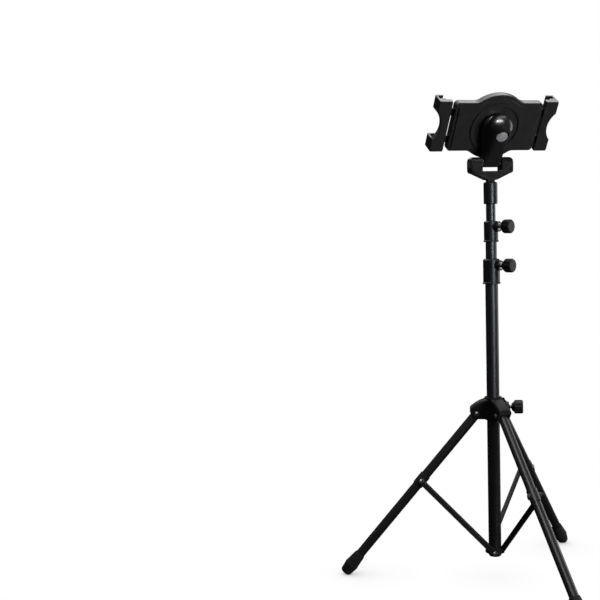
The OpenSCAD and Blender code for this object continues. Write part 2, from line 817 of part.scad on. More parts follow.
module crown_pins() {
    color(steel) for (i = [0:2]) at_leg(i) translate([0, 0, crown_z]) {
        across(pin_in, brace_out + head_gap, rivet_r);
        translate([0, brace_out + head_gap, 0]) rotate([-90, 0, 0]) dome(rivet_head_r, rivet_head_h);
    }
}

// Head socket, yoke and knuckle

module head_socket() {
    h = socket_h;
    step = lip_out;
    color(black) at_mast() translate([0, 0, socket_z]) difference() {
        rotate_extrude() polygon([[0, 0], [socket_r - step, 0], [socket_r, step],
            [socket_r, h - collar_chamfer], [socket_r - collar_chamfer, h], [0, h]]);
        translate([0, 0, -over]) cylinder(h = socket_grip + over, r = upper_od / 2);
        cylinder(h = h + over, r = tilt_bolt_r + run_fit);
        translate([0, 0, socket_grip + socket_floor]) cylinder(h = h, r = stem_r + run_fit);
    }
}

// Front view of the yoke: straight sides with round corners, and a low V that runs down to the stem.
module yoke_front() {
    top = yoke_depth / 2;
    side = yoke_w / 2 - yoke_corner;
    neck = stem_r + over;
    translate([0, (top - prong_drop) / 2]) rounded_box_2d(yoke_w, top + prong_drop, yoke_corner);
    polygon([[-side, 0], [side, 0], [side, -prong_drop], [neck, yoke_neck - yoke_rise],
        [-neck, yoke_neck - yoke_rise], [-side, -prong_drop]]);
}

// Side view of the yoke: round over the tilt pin.
module yoke_side() {
    circle(r = yoke_depth / 2);
    translate([-yoke_depth / 2, -yoke_rise]) square([yoke_depth, yoke_rise]);
}

module yoke() {
    stem_foot = socket_z + socket_grip + socket_floor + slide_gap;
    color(black) at_mast() difference() {
        union() {
            translate([0, 0, tilt_z]) intersection() {
                side_plate(yoke_depth + over) yoke_front();
                cross_plate(yoke_w + over) yoke_side();
            }
            translate([0, 0, socket_top + slide_gap]) cylinder(h = yoke_rise - yoke_slot - slide_gap,
                r1 = stem_r + over, r2 = yoke_depth / 2);
            translate([0, 0, stem_foot]) cylinder(h = socket_top + yoke_rise - yoke_slot - stem_foot,
                r = stem_r);
        }
        translate([-yoke_gap / 2, -yoke_depth, tilt_z - yoke_slot])
            cube([yoke_gap, 2 * yoke_depth, yoke_slot + yoke_depth]);
        translate([0, 0, tilt_z]) across_x(yoke_w + over, tilt_bolt_r + run_fit);
        translate([0, 0, tilt_z]) rotate([0, 90, 0]) {
            translate([0, 0, yoke_w / 2 - bolt_sink]) cylinder(h = bolt_sink + over, r = bolt_head_r);
            translate([0, 0, -yoke_w / 2 - over]) cylinder(h = bolt_sink + over,
                r = nut_af / 2 / cos(30), $fn = 6);
        }
        translate([0, 0, stem_foot - over]) cylinder(h = stem_len + over, r = stem_r / 2);
    }
}

// The screw under the stem, inside the top tube, keeps the yoke in its socket.
module pan_screw() {
    head_z = socket_z + socket_grip - slide_gap;
    color(steel) at_mast() translate([0, 0, head_z]) {
        translate([0, 0, -socket_floor / 2]) cylinder(h = socket_floor / 2, r = stem_r - over);
        cylinder(h = socket_floor + 2 * slide_gap, r = tilt_bolt_r);
        translate([0, 0, socket_floor]) cylinder(h = stem_len, r = stem_r / 2 - run_fit);
    }
}

module tilt_bolt() {
    color(steel) at_mast() translate([0, 0, tilt_z]) rotate([0, 90, 0]) {
        translate([0, 0, -yoke_w / 2 + slide_gap]) cylinder(h = yoke_w - bolt_sink, r = tilt_bolt_r);
        translate([0, 0, yoke_w / 2 - bolt_sink]) cylinder(h = bolt_sink - slide_gap,
            r = bolt_head_r - run_fit);
    }
}

module tilt_nut() {
    color(steel) at_mast() translate([-yoke_w / 2 + slide_gap, 0, tilt_z]) rotate([0, 90, 0])
        hex_nut(nut_af - slide_gap, bolt_sink - slide_gap, tilt_bolt_r + run_fit);
}

// How far the knuckle's parts stand out of the holder's back.
knuckle_seat = washer_t - slide_gap;
dome_mid = dome_up - dome_r;
knuckle_out = dome_wall + sqrt(dome_r * dome_r - dome_mid * dome_mid - cap_r * cap_r);
neck_front = ring_h + 2 * slide_gap;
nut_seat = knuckle_out / 2;
neck_step = 0.4;

// A drop-shaped arm with a round top, on a broader and lower drop-shaped base.
module knuckle() {
    neck_len = yoke_gap - 2 * neck_inset;
    color(black) difference() {
        union() {
            on_head() across_x(yoke_gap - 2 * slide_gap, barrel_r);
            hull() {
                on_disc() translate([0, dome_mid, -dome_wall]) sphere(r = dome_r, $fn = 48);
                on_head() across_x(neck_len, barrel_r - neck_step, $fn = 48);
            }
            hull() {
                on_disc() mirror([0, 0, 1]) translate([0, 0, knuckle_seat]) {
                    translate([0, 0, -over])
                        cylinder(h = over + knuckle_base_h / 2, r = knuckle_base_r, $fn = 48);
                    cylinder(h = knuckle_base_h, r = knuckle_base_r - knuckle_base_h / 2, $fn = 48);
                }
                on_head() across_x(neck_len - 2 * over, barrel_r - 2 * neck_step, $fn = 48);
            }
        }
        on_head() across_x(yoke_w, tilt_bolt_r + run_fit);
        on_disc() translate([-2 * dome_r, -2 * dome_r, -knuckle_seat])
            cube([4 * dome_r, 4 * dome_r, dome_r]);
        on_disc() translate([-2 * dome_r, -disc_up + barrel_r, -neck_front])
            cube([4 * dome_r, disc_up - barrel_r - knuckle_base_r - slide_gap, dome_r]);
        on_disc() mirror([0, 0, 1]) {
            cylinder(h = knuckle_out, r = swivel_r);
            translate([0, 0, nut_seat]) cylinder(h = dome_r, r = swivel_nut_af / 2 / cos(30), $fn = 6);
            translate([0, 0, knuckle_out - cap_t / 2]) cylinder(h = dome_r, r = cap_r);
        }
    }
}

// A plain, slightly domed cap over the nut.
module swivel_cap() {
    color(grey) on_disc() mirror([0, 0, 1]) translate([0, 0, knuckle_out - cap_t / 2]) {
        cylinder(h = cap_t / 2, r = cap_r - slide_gap);
        translate([0, 0, cap_t / 2]) dome(cap_r - slide_gap, cap_t / 2);
    }
}

// The bolt's head lies in the shell's pocket and its thread ends in the nut.
module swivel_bolt() {
    seat = rail_back - slide_gap - bolt_pocket;
    color(steel) on_disc() {
        translate([0, 0, seat]) cylinder(h = bolt_pocket - slide_gap, r = 2 * swivel_r);
        translate([0, 0, -nut_seat - swivel_nut_h]) cylinder(h = seat + nut_seat + swivel_nut_h,
            r = swivel_r);
    }
}

module swivel_nut() {
    color(steel) on_disc() mirror([0, 0, 1]) translate([0, 0, nut_seat])
        hex_nut(swivel_nut_af, swivel_nut_h, swivel_r);
}

module swivel_washer() {
    color(nylon) on_disc() mirror([0, 0, 1]) translate([0, 0, knuckle_seat - washer_t])
        tube(washer_t, knuckle_base_r - 2 * over, swivel_r + run_fit);
}

// Holder

half_w = holder_w / 2;
half_h = holder_h / 2;
blend_x = sqrt(pow(bulge_r + blend_r, 2) - pow(half_h + blend_r, 2));
// How far a blend's arc runs into its neighbours.
crease = 0.05;

// A slab with the holder's outline moved in by d, with a chamfer of c round its lower face.
module holder_slab(t, c, d, corner) {
    w = holder_w - 2 * d;
    h = holder_h - 2 * d;
    outer_r = bulge_r - d;
    inner_r = blend_r + d + crease;
    for (s = [[w, h, 0], [h, w, 90]]) rotate(s[2])
        side_plate(s[1] - 2 * corner) polygon([[c - s[0] / 2, 0], [-s[0] / 2, c], [-s[0] / 2, t],
            [s[0] / 2, t], [s[0] / 2, c], [s[0] / 2 - c, 0]]);
    for (x = [-1, 1], y = [-1, 1]) translate([x * (w / 2 - corner), y * (h / 2 - corner), 0]) {
        cylinder(h = c, r1 = corner - c, r2 = corner);
        translate([0, 0, c]) cylinder(h = t - c, r = corner);
    }
    cylinder(h = c, r1 = outer_r - c, r2 = outer_r);
    translate([0, 0, c]) cylinder(h = t - c, r = outer_r);
    for (x = [0, 1], y = [0, 1]) mirror([x, 0, 0]) mirror([0, y, 0]) difference() {
        linear_extrude(t) polygon([[0, 0], [blend_x, h / 2 - c], [blend_x, h / 2],
            [blend_x, half_h + blend_r]]);
        translate([blend_x, half_h + blend_r, 0]) {
            cylinder(h = c, r1 = inner_r + c, r2 = inner_r);
            translate([0, 0, -over]) cylinder(h = t + 2 * over, r = inner_r);
        }
    }
}

screw_x = half_w - screw_inset;
screw_y = half_h - screw_drop;

module cover_screw_places() {
    for (x = [-1, 1], y = [-1, 1]) translate([x * screw_x, y * screw_y, 0]) children();
}

// The back shell: ring, turning bore, two rail channels and the pinion's pocket.
module holder_shell() {
    channel = rail_w + 2 * slide_gap;
    floor_z = rail_back - slide_gap;
    color(black) on_disc() difference() {
        union() {
            translate([0, 0, panel_h]) holder_slab(shell_t - panel_h, shell_chamfer, 0, holder_corner);
            holder_slab(panel_h + over, panel_chamfer, panel_in, panel_corner);
            translate([0, 0, -ring_h]) tube(ring_h + over, ring_r, ring_r - ring_w);
        }
        for (s = [-1, 1]) translate([-holder_w, s * rail_mid - channel / 2, floor_z])
            cube([2 * holder_w, channel, shell_t]);
        translate([0, 0, floor_z]) cylinder(h = shell_t, r = pitch_r + 2 * tooth);
        translate([-rack_past - 2 * tooth, -rail_mid, floor_z]) cube([2 * rack_past + 4 * tooth,
            2 * rail_mid, shell_t]);
        translate([0, 0, -over]) cylinder(h = shell_t, r = swivel_r + run_fit);
        translate([0, 0, floor_z - bolt_pocket]) cylinder(h = shell_t, r = 2 * swivel_r + slide_gap);
        translate([0, 0, -over]) cylinder(h = over + washer_t - knuckle_seat + head_gap,
            r = knuckle_base_r - over);
        cover_screw_places() translate([0, 0, shell_t / 2]) cylinder(h = shell_t, r = cover_screw_r);
    }
}

// The front cover, with the post that the pinion turns on.
module holder_cover() {
    color(black) on_disc() difference() {
        union() {
            translate([0, 0, holder_front]) mirror([0, 0, 1]) holder_slab(cover_t, cover_t / 2, 0,
                holder_corner);
            translate([0, 0, rail_back]) cylinder(h = shell_t - rail_back + over, r = post_r);
        }
        cover_screw_places() {
            translate([0, 0, shell_t - over]) cylinder(h = holder_front, r = cover_screw_r);
            translate([0, 0, holder_front - cover_screw_r]) cylinder(h = cover_screw_r,
                r1 = cover_screw_r, r2 = 2 * cover_screw_r);
        }
    }
}

module cover_screws() {
    color(steel) on_disc() cover_screw_places() {
        translate([0, 0, shell_t / 2]) cylinder(h = holder_front - shell_t / 2, r = cover_screw_r);
        translate([0, 0, holder_front - cover_screw_r]) cylinder(h = cover_screw_r,
            r1 = cover_screw_r, r2 = 2 * cover_screw_r);
    }
}

// Two rubber strips that the tablet's back lies on.
module holder_pads() {
    color(rubber) on_disc() for (s = [-1, 1]) translate([0, s * rail_mid, holder_front])
        linear_extrude(pad_t) rounded_box_2d(pad_len, pad_w, pad_w / 4);
}

// Arms and pinion

// Front view of an arm on the +X side: a spine with two hooks and a round hollow between them.
module arm_front() {
    gap_half = arm_h / 2 - hook_h;
    dip = arm_out - arm_in - spine_w;
    dip_r = (gap_half * gap_half + dip * dip) / (2 * dip);
    difference() {
        translate([(arm_in + arm_out) / 2, 0]) rounded_box_2d(arm_out - arm_in, arm_h, arm_corner);
        translate([arm_in + spine_w + dip_r, 0]) circle(r = dip_r);
    }
}

// Section of a hook: back plate, outer wall and front lip, with round outer corners.
module hook_section() {
    depth = hook_front + hook_wall - arm_back;
    difference() {
        translate([arm_out - (arm_out - arm_in) / 2, arm_back + depth / 2])
            rounded_box_2d(arm_out - arm_in, depth, hook_wall / 2);
        translate([arm_in - over, holder_front + pad_t]) square([hook_in - arm_in + over, hook_depth]);
        translate([arm_in - over, holder_front + pad_t])
            square([hook_in - lip_reach - arm_in + over, depth]);
        translate([arm_in - over, shell_t]) square([hook_in - lip_reach - arm_in + over, depth]);
    }
}

// One arm on the +X side. Its upper rail is plain and its lower rail carries the rack.
module arm() {
    root_half = rack_step / 4 - backlash / 2 + tooth_root * tan(pressure_angle);
    tip_half = rack_step / 4 - backlash / 2 - tooth_tip * tan(pressure_angle);
    first = -floor(rack_past / rack_step - 1);
    last = floor(rack_out / rack_step);
    translate([0, 0, arm_back]) linear_extrude(shell_t - arm_back) arm_front();
    for (s = [-1, 1]) translate([0, s * (arm_h - hook_h) / 2, 0]) side_plate(hook_h) hook_section();
    translate([plain_rail_end, rail_in, rail_back]) cube([arm_in + over - plain_rail_end, rail_w, rail_t]);
    translate([-rack_past, -rail_in - rail_w, rail_back]) cube([arm_in + over + rack_past, rail_w, rail_t]);
    for (k = [first:last]) translate([(k - 0.5) * rack_step, -pitch_r, rail_back])
        linear_extrude(rail_t) polygon([[-root_half, -tooth_root], [-tip_half, tooth_tip],
            [tip_half, tooth_tip], [root_half, -tooth_root]]);
}

module arm_right() {
    color(black) on_disc() arm();
}

module arm_left() {
    color(black) on_disc() rotate(180) arm();
}

// Rubber linings in an arm's two hooks, against the wall.
module arm_pads() {
    for (s = [-1, 1]) translate([opening / 2, s * (arm_h - hook_h) / 2 - hook_h / 2 + over,
        holder_front + pad_t]) cube([hook_pad, hook_h - 2 * over, hook_depth]);
}

module arm_pads_right() {
    color(rubber) on_disc() arm_pads();
}

module arm_pads_left() {
    color(rubber) on_disc() rotate(180) arm_pads();
}

// Involute tooth flanks, from the base circle out to the tip.
base_r = pitch_r * cos(pressure_angle);
tip_r = pitch_r + tooth_tip;
root_r = pitch_r - tooth_root;
flank_steps = 4;
function roll(r) = r <= base_r ? 0 : sqrt(pow(r / base_r, 2) - 1);
function flank_turn(r) = roll(r) * 180 / PI - atan(roll(r));
function half_tooth(r) = 90 / pinion_teeth - backlash / 2 / pitch_r * 180 / PI
    + flank_turn(pitch_r) - flank_turn(r);
function flank_r(n) = max(base_r, root_r) + (tip_r - max(base_r, root_r)) * n / flank_steps;
function at_turn(r, a) = [r * cos(a), r * sin(a)];

module pinion() {
    step = 360 / pinion_teeth;
    outline = [for (k = [0:pinion_teeth - 1]) each concat(
        [at_turn(root_r, 90 + k * step - half_tooth(base_r))],
        [for (n = [0:flank_steps]) at_turn(flank_r(n), 90 + k * step - half_tooth(flank_r(n)))],
        [for (n = [flank_steps:-1:0]) at_turn(flank_r(n), 90 + k * step + half_tooth(flank_r(n)))],
        [at_turn(root_r, 90 + k * step + half_tooth(base_r))])];
    color(nylon) on_disc() translate([0, 0, rail_back]) difference() {
        linear_extrude(rail_t) polygon(outline);
        translate([0, 0, -over]) cylinder(h = rail_t + 2 * over, r = post_r + run_fit);
    }
}

main_tube();
lower_crown();
crown_pins();
main_collar();
main_clamp_nut();
main_knob();
main_stud();
mid_tube();
mid_tube_plug();
mid_collar();
mid_clamp_nut();
mid_knob();
mid_stud();
upper_tube();
upper_tube_plug();
head_socket();
leg_hub();
hub_pins();
hub_clamp_nut();
hub_knob();
hub_stud();
leg(0);  // leg_1
leg(1);  // leg_2
leg(2);  // leg_3
foot(0);  // foot_1
foot(1);  // foot_2
foot(2);  // foot_3
leg_clip(0);  // leg_clip_1
leg_clip(1);  // leg_clip_2
leg_clip(2);  // leg_clip_3
clip_rivet(0);  // clip_rivet_1
clip_rivet(1);  // clip_rivet_2
clip_rivet(2);  // clip_rivet_3
brace(0);  // brace_1
brace(1);  // brace_2
brace(2);  // brace_3
yoke();
pan_screw();
tilt_bolt();
tilt_nut();
knuckle();
swivel_bolt();
swivel_nut();
swivel_washer();
swivel_cap();
holder_shell();
holder_cover();
cover_screws();
holder_pads();
arm_left();
arm_right();
arm_pads_left();
arm_pads_right();
pinion();
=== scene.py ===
"""Looks of the folding floor stand: finishes, fasteners, ribbed rubber, stage, light and camera."""
import json
import math

import bpy
from mathutils import Matrix, Vector


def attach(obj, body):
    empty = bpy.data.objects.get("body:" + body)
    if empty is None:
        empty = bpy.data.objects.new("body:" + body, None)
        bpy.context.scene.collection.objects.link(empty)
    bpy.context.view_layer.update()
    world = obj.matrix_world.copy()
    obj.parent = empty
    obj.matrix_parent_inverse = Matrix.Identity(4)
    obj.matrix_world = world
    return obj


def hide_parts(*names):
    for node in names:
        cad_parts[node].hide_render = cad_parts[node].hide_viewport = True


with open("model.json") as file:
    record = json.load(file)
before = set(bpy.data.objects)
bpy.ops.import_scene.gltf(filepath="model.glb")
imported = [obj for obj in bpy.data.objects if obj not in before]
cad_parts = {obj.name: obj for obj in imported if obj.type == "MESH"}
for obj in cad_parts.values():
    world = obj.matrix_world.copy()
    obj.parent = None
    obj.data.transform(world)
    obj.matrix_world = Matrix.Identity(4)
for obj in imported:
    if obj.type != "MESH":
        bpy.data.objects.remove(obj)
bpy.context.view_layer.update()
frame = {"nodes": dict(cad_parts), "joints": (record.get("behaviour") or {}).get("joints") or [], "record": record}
nodes = frame["nodes"]
joints = {joint["name"]: joint for joint in frame["joints"]}
subparts = frame["record"]["subparts"]
scene = bpy.context.scene

MM = 0.001
UP = Vector((0, 0, 1))
ACROSS = Vector((1, 0, 0))


# Places on the stand, from the joints of the frame

mast_foot = Vector(joints["head_pan"]["pos_m"]) * Vector((1, 1, 0))
holder_front = -Vector(joints["holder_turn"]["axis"]).normalized()
holder_middle = Vector(joints["holder_turn"]["pos_m"])
holder_up = holder_front.cross(ACROSS)


def along(node, spot, axis):
    """Nearest and furthest reach of a CAD node along an axis, from a spot on it."""
    reach = [(vertex.co - spot).dot(axis) for vertex in nodes[node].data.vertices]
    return min(reach), max(reach)


def facing(spot, axis, side=None):
    """A frame at spot whose Z runs along axis. Its X leans towards side, or upwards where none is given."""
    z = axis.normalized()
    if side is None:
        upright = abs(z.z) >= 0.9
        side = ACROSS if upright else UP
    x = (side - z * side.dot(z)).normalized()
    return Matrix.Translation(spot) @ Matrix((x, z.cross(x), z)).transposed().to_4x4()


on_holder = facing(holder_middle, holder_front, ACROSS)


# Camera at the photograph's viewing angle

def photo_camera():
    """Stands off the mast at a turn, a distance and a height in metres, then yaws, pitches and rolls."""
    turn, distance, height = math.radians(154.17), 1.79483, 0.57528
    yaw, pitch, roll = math.radians(9.5), math.radians(-4.22), math.radians(-1.44)
    spot = mast_foot + Vector((distance * math.sin(turn), -distance * math.cos(turn), height))
    ahead = Matrix.Rotation(yaw, 3, "Z") @ Vector((-math.sin(turn), math.cos(turn), 0))
    right = ahead.cross(UP)
    ahead, top = (ahead * math.cos(pitch) + UP * math.sin(pitch),
                  UP * math.cos(pitch) - ahead * math.sin(pitch))
    right, top = (right * math.cos(roll) + top * math.sin(roll),
                  top * math.cos(roll) - right * math.sin(roll))
    data = bpy.data.cameras.new("photo_camera")
    data.sensor_width = 36
    data.lens = 68.968
    data.clip_end = 60
    camera = bpy.data.objects.new("photo_camera", data)
    camera.matrix_world = Matrix.Translation(spot) @ Matrix((right, top, -ahead)).transposed().to_4x4()
    scene.collection.objects.link(camera)
    scene.camera = camera


photo_camera()


# Shader helpers

FLOAT, VECTOR = "NodeSocketFloat", "NodeSocketVector"

# Numbers of a colour mix's factor, its two colours and its result among its sockets
MIX_FACTOR, MIX_FIRST, MIX_SECOND, MIX_RESULT = 0, 6, 7, 2


def put(tree, kind, feeds=None, **settings):
    """Adds a shader node. Feeds are values or outputs for its inputs, by name or number."""
    made = tree.nodes.new(kind)
    for key, value in settings.items():
        setattr(made, key, value)
    for key, value in (feeds or {}).items():
        if isinstance(value, bpy.types.NodeSocket):
            tree.links.new(value, made.inputs[key])
        else:
            made.inputs[key].default_value = value
    return made


def effect(name, gives, takes):
    """A shader node group: takes is {input: default}, gives is {output: socket type}."""
    group = bpy.data.node_groups.new(name, "ShaderNodeTree")
    for key, default in takes.items():
        socket = group.interface.new_socket(key, in_out="INPUT", socket_type=FLOAT)
        socket.default_value = default
    for key, kind in gives.items():
        group.interface.new_socket(key, in_out="OUTPUT", socket_type=kind)
    return group, put(group, "NodeGroupInput").outputs, put(group, "NodeGroupOutput")


def place_effect(tree, group, feeds):
    """The outputs of an effect placed in a material with its own values."""
    return put(tree, "ShaderNodeGroup", feeds, node_tree=group).outputs


def calc(tree, operation, *values):
    return put(tree, "ShaderNodeMath", dict(enumerate(values)), operation=operation).outputs[0]


def ramp(tree, value, low, high, to_low=0.0, to_high=1.0):
    return put(tree, "ShaderNodeMapRange", {"Value": value, "From Min": low, "From Max": high,
                                           "To Min": to_low, "To Max": to_high}).outputs[0]


def noise(tree, scale, detail, rough):
    place = put(tree, "ShaderNodeTexCoord").outputs["Object"]
    return put(tree, "ShaderNodeTexNoise", {"Vector": place, "Scale": scale, "Detail": detail,
                                           "Roughness": rough}).outputs["Fac"]


def make_surface_grain():
    """Fine grain or orange peel, with a roughness that drifts over the surface."""
    group, takes, out = effect("surface_grain", {"Height": FLOAT, "Roughness": FLOAT},
                               {"Grain Scale": 900, "Drift Scale": 30, "Low": 0.3, "High": 0.5})
    fine = noise(group, takes["Grain Scale"], 2.0, 0.5)
    drift = noise(group, takes["Drift Scale"], 4.0, 0.65)
    mixed = calc(group, "MULTIPLY_ADD", fine, 0.35, calc(group, "MULTIPLY", drift, 0.65))
    spread = ramp(group, mixed, 0.3, 0.7, takes["Low"], takes["High"])
    group.links.new(fine, out.inputs["Height"])
    group.links.new(spread, out.inputs["Roughness"])
    return group


def make_worn_edge():
    """Softly rounded edges, and a broken mask of where hands and tools have rubbed them."""
    group, takes, out = effect("worn_edge", {"Normal": VECTOR, "Wear": FLOAT},
                               {"Edge Radius": 0.0005, "Amount": 0.5})
    soft = put(group, "ShaderNodeBevel", {"Radius": takes["Edge Radius"]}, samples=4)
    true = put(group, "ShaderNodeNewGeometry").outputs["Normal"]
    match = put(group, "ShaderNodeVectorMath", {0: soft.outputs[0], 1: true}, operation="DOT_PRODUCT")
    edge = ramp(group, match.outputs["Value"], 0.99, 0.8)
    broken = ramp(group, noise(group, 210.0, 5.0, 0.7), 0.42, 0.68)
    worn = calc(group, "MULTIPLY", calc(group, "MULTIPLY", edge, broken), takes["Amount"])
    group.links.new(soft.outputs[0], out.inputs["Normal"])
    group.links.new(worn, out.inputs["Wear"])
    return group


def make_cloudy_tone():
    """Slow, soft change of tone with fine specks, as in paint, moulded plastic, plating and rubber."""
    group, takes, out = effect("cloudy_tone", {"Tone": FLOAT}, {"Cloud Scale": 60, "Speck Scale": 1500})
    cloud = noise(group, takes["Cloud Scale"], 4.0, 0.6)
    speck = noise(group, takes["Speck Scale"], 1.0, 0.5)
    both = calc(group, "MULTIPLY_ADD", speck, 0.4, calc(group, "MULTIPLY", cloud, 0.6))
    group.links.new(ramp(group, both, 0.35, 0.65), out.inputs["Tone"])
    return group


surface_grain = make_surface_grain()
worn_edge = make_worn_edge()
cloudy_tone = make_cloudy_tone()


# Finishes, one for each material slot, and one each for the holder and the knuckle; the holder's is the collar
# plastic made lighter as painted fill light

# The colours dark and light drift into each other, and rub shows on worn edges.
# Grain, drift, cloud and speck are noise cells to the metre, and edge is a radius in millimetres.
# Bump and wear are amounts, and the roughness lies between low and high.
# Shine, coat and metal go to the shader as they are.
FINISHES = {
    "painted_tube": dict(
        dark=(0.006, 0.006, 0.0069), light=(0.009, 0.009, 0.0103), rub=(0.03, 0.03, 0.034),
        grain=1100, drift=24, low=0.34, high=0.43, bump=0.004, edge=0.12, wear=0.12,
        cloud=40, speck=1800, shine=0.8),
    "moulded_black": dict(
        dark=(0.012, 0.012, 0.0126), light=(0.018, 0.018, 0.019), rub=(0.036, 0.036, 0.038),
        grain=2600, drift=45, low=0.42, high=0.56, bump=0.1, edge=0.6, wear=0.35,
        cloud=70, speck=2600, shine=0.28),
    "collar_black": dict(
        dark=(0.006, 0.006, 0.0067), light=(0.009, 0.009, 0.01), rub=(0.026, 0.026, 0.029),
        grain=2200, drift=35, low=0.32, high=0.44, bump=0.05, edge=0.4, wear=0.2,
        cloud=60, speck=2200),
    "gloss_black": dict(
        dark=(0.016, 0.016, 0.017), light=(0.023, 0.023, 0.0244), rub=(0.04, 0.04, 0.043),
        grain=700, drift=28, low=0.27, high=0.34, bump=0.005, edge=2.0, wear=0.2,
        cloud=40, speck=1500, coat=0.12),
    # The collar plastic made lighter for the holder and its arms: painted fill light, as no strip light reaches
    # them
    "holder_black_painted_fill": dict(
        dark=(0.021, 0.021, 0.0222), light=(0.031, 0.031, 0.0327), rub=(0.05, 0.05, 0.053),
        grain=2200, drift=35, low=0.32, high=0.44, bump=0.05, edge=0.6, wear=0.25,
        cloud=60, speck=2200),
    "knuckle_black": dict(
        dark=(0.014, 0.014, 0.015), light=(0.02, 0.02, 0.0212), rub=(0.036, 0.036, 0.039),
        grain=700, drift=28, low=0.26, high=0.33, bump=0.005, edge=0.9, wear=0.2,
        cloud=40, speck=1500, coat=0.12),
    "knob_black": dict(
        dark=(0.011, 0.011, 0.0116), light=(0.018, 0.018, 0.0189), rub=(0.038, 0.038, 0.04),
        grain=3000, drift=80, low=0.45, high=0.62, bump=0.14, edge=0.5, wear=0.4,
        cloud=120, speck=3000, shine=0.35),
    "black_rubber": dict(
        dark=(0.016, 0.016, 0.016), light=(0.024, 0.0238, 0.0234), rub=(0.042, 0.041, 0.04),
        grain=1800, drift=60, low=0.62, high=0.82, bump=0.12, edge=0.8, wear=0.45,
        cloud=90, speck=2200, shine=0.3),
    "bright_steel": dict(
        dark=(0.34, 0.34, 0.35), light=(0.5, 0.5, 0.51), rub=(0.62, 0.62, 0.62),
        grain=2400, drift=160, low=0.34, high=0.48, bump=0.03, edge=0.25, wear=0.6,
        cloud=220, speck=3500, metal=1.0),
    "cap_grey": dict(
        dark=(0.4, 0.404, 0.415), light=(0.56, 0.565, 0.58), rub=(0.65, 0.65, 0.66),
        grain=3000, drift=90, low=0.3, high=0.42, bump=0.03, edge=0.5, wear=0.5,
        cloud=150, speck=4200, metal=0.3),
    "white_nylon": dict(
        dark=(0.62, 0.6, 0.54), light=(0.76, 0.745, 0.69), rub=(0.8, 0.78, 0.72),
        grain=1500, drift=50, low=0.38, high=0.52, bump=0.04, edge=0.3, wear=0.3,
        cloud=80, speck=1200),
}
BUMP_DEPTH = 0.1 * MM
COAT_ROUGHNESS = 0.25


def make_finish(slot, look):
    """One procedural material, from the three effects and the finish's own values."""
    material = bpy.data.materials.new(slot)
    material.use_nodes = True
    tree = material.node_tree
    shader = tree.nodes["Principled BSDF"]
    grain = place_effect(tree, surface_grain, {"Grain Scale": look["grain"], "Drift Scale": look["drift"],
                                               "Low": look["low"], "High": look["high"]})
    edge = place_effect(tree, worn_edge, {"Edge Radius": look["edge"] * MM, "Amount": look["wear"]})
    tone = place_effect(tree, cloudy_tone, {"Cloud Scale": look["cloud"], "Speck Scale": look["speck"]})
    body = put(tree, "ShaderNodeMix", {MIX_FACTOR: tone["Tone"], MIX_FIRST: (*look["dark"], 1),
                                       MIX_SECOND: (*look["light"], 1)}, data_type="RGBA")
    rubbed = put(tree, "ShaderNodeMix", {MIX_FACTOR: edge["Wear"], MIX_FIRST: body.outputs[MIX_RESULT],
                                         MIX_SECOND: (*look["rub"], 1)}, data_type="RGBA")
    bump = put(tree, "ShaderNodeBump", {"Strength": look["bump"], "Distance": BUMP_DEPTH,
                                       "Height": grain["Height"], "Normal": edge["Normal"]})
    tree.links.new(rubbed.outputs[MIX_RESULT], shader.inputs["Base Color"])
    tree.links.new(grain["Roughness"], shader.inputs["Roughness"])
    tree.links.new(bump.outputs["Normal"], shader.inputs["Normal"])
    shader.inputs["Metallic"].default_value = look.get("metal", 0.0)
    shader.inputs["Specular IOR Level"].default_value = look.get("shine", 0.5)
    if "coat" in look:
        shader.inputs["Coat Weight"].default_value = look["coat"]
        shader.inputs["Coat Roughness"].default_value = COAT_ROUGHNESS
    return material


finishes = {slot: make_finish(slot, look) for slot, look in FINISHES.items()}
# The holder and its arms wear the lighter copy of the collar plastic, whose extra lightness is painted fill light
OWN_FINISH = {"knuckle": "knuckle_black", "holder_shell": "holder_black_painted_fill",
              "arm_left": "holder_black_painted_fill", "arm_right": "holder_black_painted_fill"}

for part in subparts:
    node = nodes[part["node"]]
    node.data.materials.clear()
    node.data.materials.append(finishes[OWN_FINISH.get(part["node"], part["material_slot"])])


def smooth_facets(node, angle):
    """Even shading over a node's small flat facets. Edges sharper than the angle stay crisp."""
    mesh = nodes[node].data
    near = math.cos(math.radians(angle))
    corners = []
    for face in mesh.polygons:
        corners.append([tuple(round(c, 6) for c in mesh.vertices[v].co) for v in face.vertices])
    meeting = {}
    for face, spots in zip(mesh.polygons, corners):
        for spot in spots:
            meeting.setdefault(spot, []).append((face.normal.copy(), face.area))
    normals = []
    for face, spots in zip(mesh.polygons, corners):
        for spot in spots:
            total = Vector()
            for normal, area in meeting[spot]:
                if normal.dot(face.normal) > near:
                    total += normal * area
            normals.append(total.normalized())
    mesh.polygons.foreach_set("use_smooth", [True] * len(mesh.polygons))
    mesh.normals_split_custom_set(normals)


smooth_facets("knuckle", angle=24)


# Turned and threaded pieces

def ring_points(place, z, radius, segments):
    """One ring round the Z axis of a place. The radius may change with the angle."""
    points = []
    for k in range(segments):
        a = 2 * math.pi * k / segments
        r = radius(a) if callable(radius) else radius
        points.append(place @ Vector((r * math.cos(a), r * math.sin(a), z)))
    return points


def turned(rings, place, segments, closed=False):
    """Vertices and faces of a turned piece: rings are (height, radius) pairs in metres, from end to end."""
    verts, faces = [], []
    for z, radius in rings:
        verts += ring_points(place, z, radius, segments)
    count = len(rings)
    for n in range(count if closed else count - 1):
        a, b = n * segments, (n + 1) % count * segments
        for k in range(segments):
            m = (k + 1) % segments
            faces.append((a + k, a + m, b + m, b + k))
    if not closed:
        faces.append(tuple(range(segments - 1, -1, -1)))
        faces.append(tuple(range((count - 1) * segments, count * segments)))
    return verts, faces


